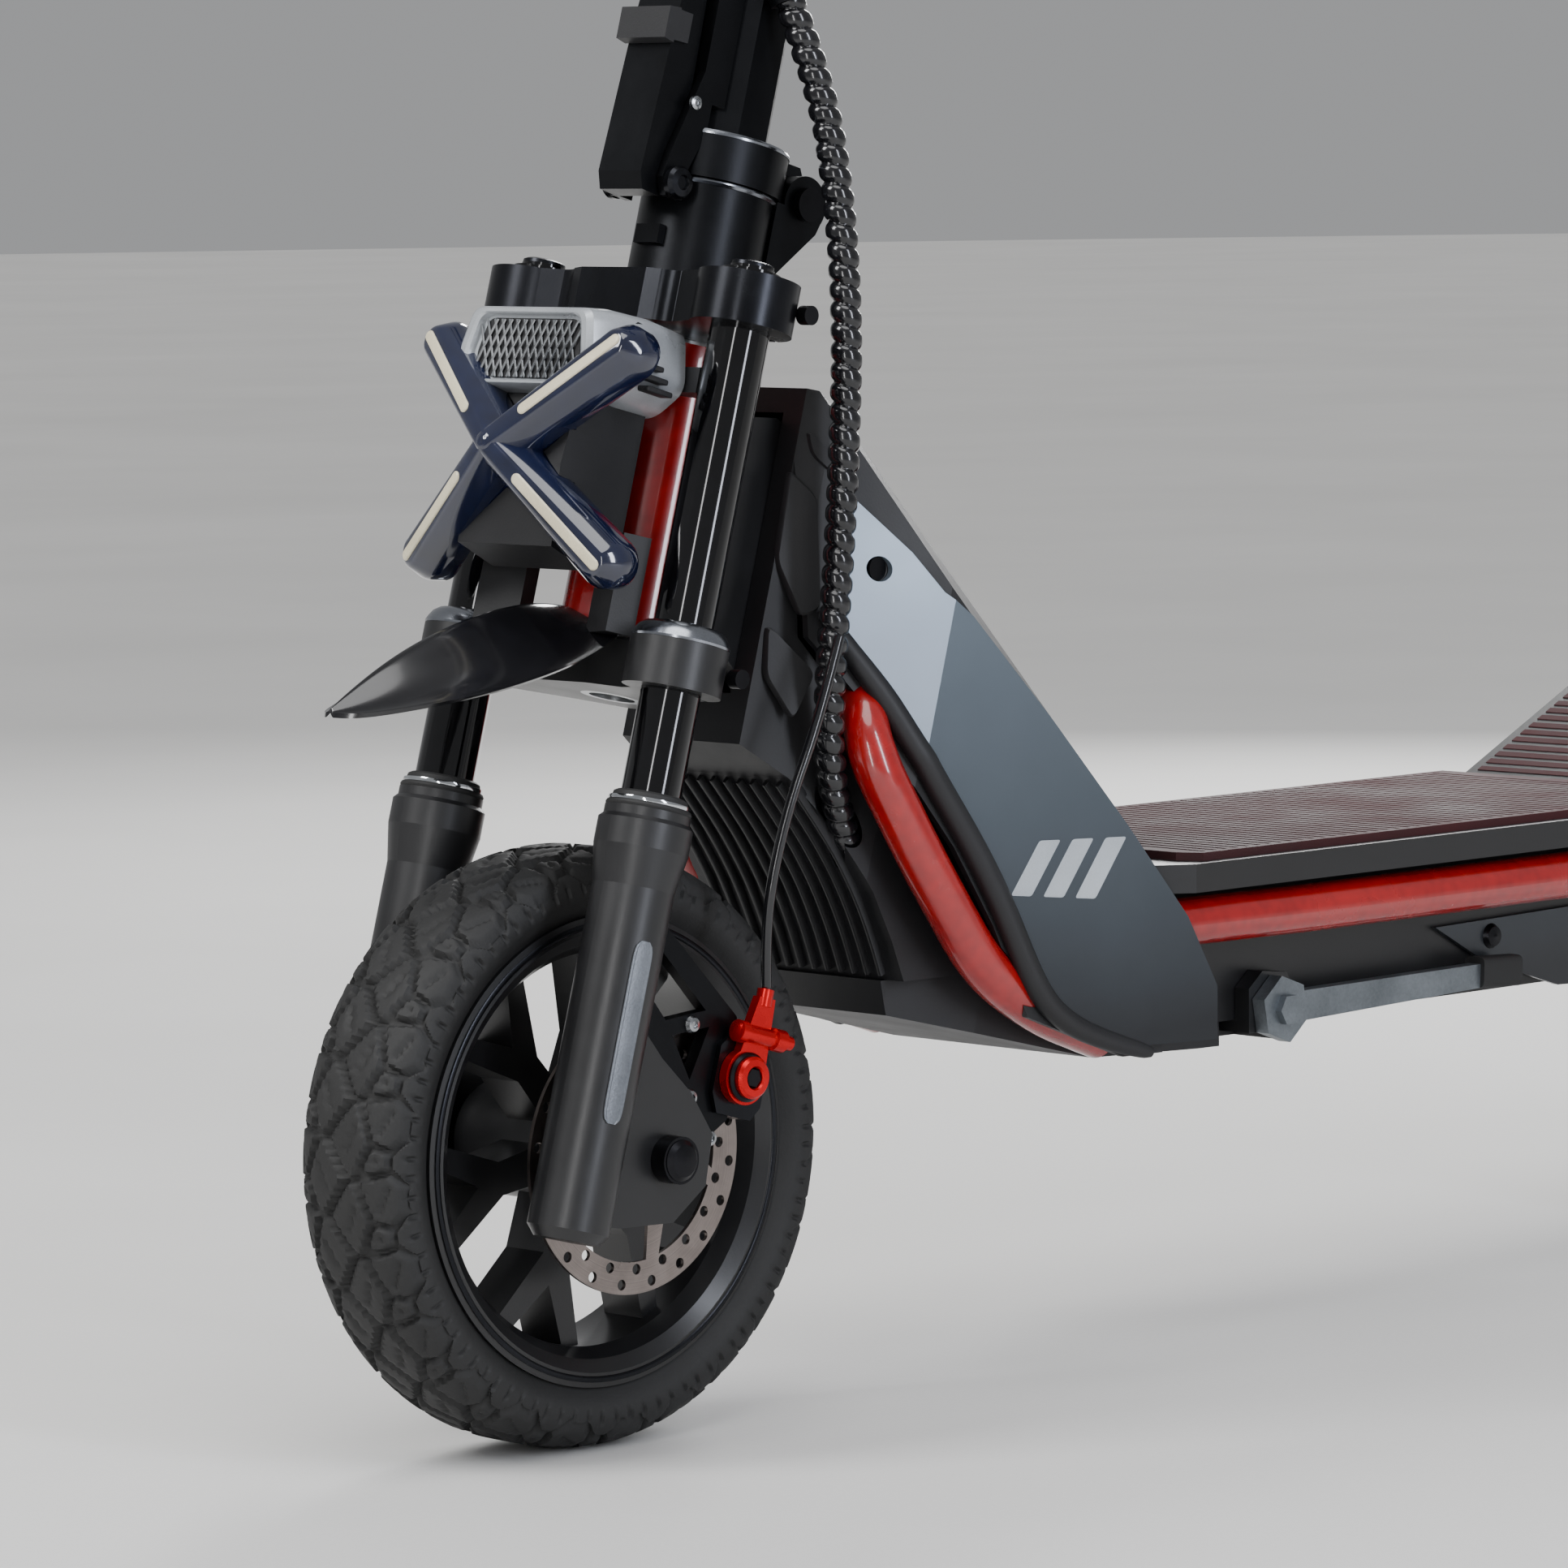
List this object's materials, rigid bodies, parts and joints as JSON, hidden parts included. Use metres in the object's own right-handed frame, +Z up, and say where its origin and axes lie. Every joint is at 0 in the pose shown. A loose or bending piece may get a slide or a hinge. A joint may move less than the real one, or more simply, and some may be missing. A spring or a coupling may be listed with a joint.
{
  "type": "electric kick scooter",
  "caption": "Folding electric kick scooter with twin-leg front fork, cross-shaped running lamp, ribbed deck, red tubular frame, front disc brake, rear hub motor and sprung swingarm.",
  "frame": {"origin": "on the ground, midway between the front of the front tyre and the back of the mudguard, in the scooter's middle plane", "axes": "+X forwards, +Y to the rider's left, +Z up"},
  "size_m": [1.2522, 0.69, 1.3766],
  "materials": {
    "anodised_black": "satin anodised",
    "machined_dark": "machined and anodised",
    "stanchion_black": "polished black coating",
    "slider_black": "satin powder coat",
    "red_paint": "gloss powder coat",
    "red_anodised": "gloss anodised",
    "frame_black": "satin powder coat",
    "grey_paint": "metallic paint",
    "shell_black": "fine texture",
    "gloss_black": "gloss",
    "tyre_rubber": "matte",
    "rim_black": "satin powder coat",
    "steel": "brushed",
    "rotor_steel": "turned",
    "dark_steel": "blackened",
    "grip_rubber": "moulded",
    "mat_rubber": "ribbed",
    "lamp_lens": "gloss",
    "light_strip": "diffusing",
    "tail_lens": "gloss",
    "cable_jacket": "gloss",
    "battery_wrap": "shrink film",
    "controller_alloy": "cast",
    "stator_core": "laminated and wound",
    "screen": "gloss",
    "stand_grey": "forged and tumbled"
  },
  "bodies": {
    "frame": {"head_tube": "red_paint", "frame_spine": "frame_black", "frame_tubes": "red_paint", "neck_cover": "shell_black", "belly_cover": "shell_black", "side_panels": "grey_paint", "panel_bolts": "dark_steel", "deck_tray": "frame_black", "deck_lid": "frame_black", "deck_mat": "mat_rubber", "battery_pack": "battery_wrap", "motor_controller": "controller_alloy", "kick_plate": "frame_black", "rear_fender": "shell_black", "tail_lamp": "tail_lens", "headset_bearings": "steel"},
    "charge_cap": {"charge_cap": "grip_rubber"},
    "steering": {"steerer": "steel", "top_clamp": "machined_dark", "lower_clamp": "anodised_black", "stanchions": "stanchion_black", "clamp_bolts": "dark_steel", "lamp_housing": "shell_black", "lamp_cross": "lamp_lens", "light_strips": "light_strip", "front_fender": "gloss_black", "stem_base": "anodised_black", "fold_pin": "dark_steel", "control_harness": "cable_jacket", "brake_cable": "cable_jacket"},
    "fork_lowers": {"fork_sliders": "slider_black", "fork_springs": "steel", "front_axle": "dark_steel", "caliper_bracket": "anodised_black", "brake_caliper": "machined_dark"},
    "caliper_arm": {"caliper_arm": "red_anodised"},
    "front_wheel": {"front_tyre": "tyre_rubber", "front_rim": "rim_black", "brake_rotor": "rotor_steel", "front_bearings": "steel"},
    "stem": {"stem_tube": "anodised_black", "handlebar": "anodised_black", "handlebar_clamp": "anodised_black", "grips": "grip_rubber", "display_unit": "screen", "control_pods": "shell_black"},
    "latch_lever": {"latch_lever": "anodised_black"},
    "latch_catch": {"latch_catch": "shell_black"},
    "brake_lever_left": {"brake_lever_left": "dark_steel"},
    "brake_lever_right": {"brake_lever_right": "dark_steel"},
    "thumb_throttle": {"thumb_throttle": "gloss_black"},
    "horn_button": {"horn_button": "gloss_black"},
    "kickstand": {"kickstand_leg": "stand_grey"},
    "swingarm": {"swingarm": "anodised_black", "motor_stator": "stator_core"},
    "rear_wheel": {"rear_tyre": "tyre_rubber", "hub_motor": "rim_black"},
    "shock_body": {"shock_bodies": "anodised_black", "shock_springs": "red_paint"},
    "shock_rod": {"shock_rods": "steel"}
  },
  "joints": [
    {"name": "steer", "type": "hinge", "parent": "frame", "child": "steering", "pos_m": [0.42471, 0, 0.4348], "axis": [-0.2756, 0, 0.9613], "range_deg": [-38, 38]},
    {"name": "fork_slide", "type": "slide", "parent": "steering", "child": "fork_lowers", "axis": [-0.2756, 0, 0.9613], "range_m": [0, 0.04], "stiffness_N_per_m": 12000, "springref_m": -0.02, "deforming": ["fork_springs"]},
    {"name": "front_wheel_spin", "type": "hinge", "parent": "fork_lowers", "child": "front_wheel", "pos_m": [0.485, 0, 0.14], "axis": [0, 1, 0], "continuous": true},
    {"name": "caliper_arm_swing", "type": "hinge", "parent": "fork_lowers", "child": "caliper_arm", "pos_m": [0.43732, 0.072, 0.17314], "axis": [0, -1, 0], "range_deg": [0, 18], "stiffness_Nm_per_rad": 0.5, "springref_deg": -5.73},
    {"name": "stem_fold", "type": "hinge", "parent": "steering", "child": "stem", "pos_m": [0.34545, 0, 0.57332], "axis": [0, -1, 0], "range_deg": [0, 84], "deforming": ["control_harness", "brake_cable"]},
    {"name": "latch", "type": "hinge", "parent": "stem", "child": "latch_lever", "pos_m": [0.42319, 0, 0.58521], "axis": [0, 1, 0], "range_deg": [0, 80]},
    {"name": "catch_slide", "type": "slide", "parent": "latch_lever", "child": "latch_catch", "axis": [-0.2756, 0, 0.9613], "range_m": [0, 0.012], "stiffness_N_per_m": 300, "springref_m": -0.004},
    {"name": "brake_left", "type": "hinge", "parent": "stem", "child": "brake_lever_left", "pos_m": [0.20229, 0.197, 1.33018], "axis": [-0.2756, 0, 0.9613], "range_deg": [0, 14], "stiffness_Nm_per_rad": 2, "springref_deg": -11.46},
    {"name": "brake_right", "type": "hinge", "parent": "stem", "child": "brake_lever_right", "pos_m": [0.20229, -0.197, 1.33018], "axis": [0.2756, 0, -0.9613], "range_deg": [0, 14], "stiffness_Nm_per_rad": 2, "springref_deg": -11.46},
    {"name": "throttle", "type": "hinge", "parent": "stem", "child": "thumb_throttle", "pos_m": [0.17057, -0.155, 1.32108], "axis": [0, -1, 0], "range_deg": [0, 30], "stiffness_Nm_per_rad": 0.3, "springref_deg": -17.19},
    {"name": "horn_press", "type": "slide", "parent": "stem", "child": "horn_button", "axis": [0.9613, 0, 0.2756], "range_m": [0, 0.0025], "stiffness_N_per_m": 800, "springref_m": -0.001},
    {"name": "stand_swing", "type": "hinge", "parent": "frame", "child": "kickstand", "pos_m": [0.087, 0.088, 0.173], "axis": [0, -1, 0], "range_deg": [0, 115], "stiffness_Nm_per_rad": 0.6, "springref_deg": -45.84},
    {"name": "charge_cap_swing", "type": "hinge", "parent": "frame", "child": "charge_cap", "pos_m": [0.03, -0.0768, 0.174], "axis": [1, 0, 0], "range_deg": [0, 100], "stiffness_Nm_per_rad": 0.02, "springref_deg": -17.19},
    {"name": "rear_swing", "type": "hinge", "parent": "frame", "child": "swingarm", "pos_m": [-0.287, 0, 0.19], "axis": [0, 1, 0], "range_deg": [0, 9], "stiffness_Nm_per_rad": 450, "springref_deg": -6.88},
    {"name": "rear_wheel_spin", "type": "hinge", "parent": "swingarm", "child": "rear_wheel", "pos_m": [-0.475, 0, 0.14], "axis": [0, 1, 0], "continuous": true},
    {"name": "shock_swing", "type": "hinge", "parent": "frame", "child": "shock_body", "pos_m": [-0.357, 0, 0.276], "axis": [0, 1, 0], "range_deg": [0, 5.33]},
    {"name": "shock_compress", "type": "slide", "parent": "shock_body", "child": "shock_rod", "axis": [0.4399, 0, 0.8981], "range_m": [0, 0.01663], "deforming": ["shock_springs"]}
  ],
  "couplings": [
    {"joint": "caliper_arm_swing", "follows": "brake_left", "ratio": 1.2857},
    {"joint": "shock_swing", "follows": "rear_swing", "ratio": 0.58722},
    {"joint": "shock_compress", "follows": "rear_swing", "m_per_rad": 0.10268}
  ]
}
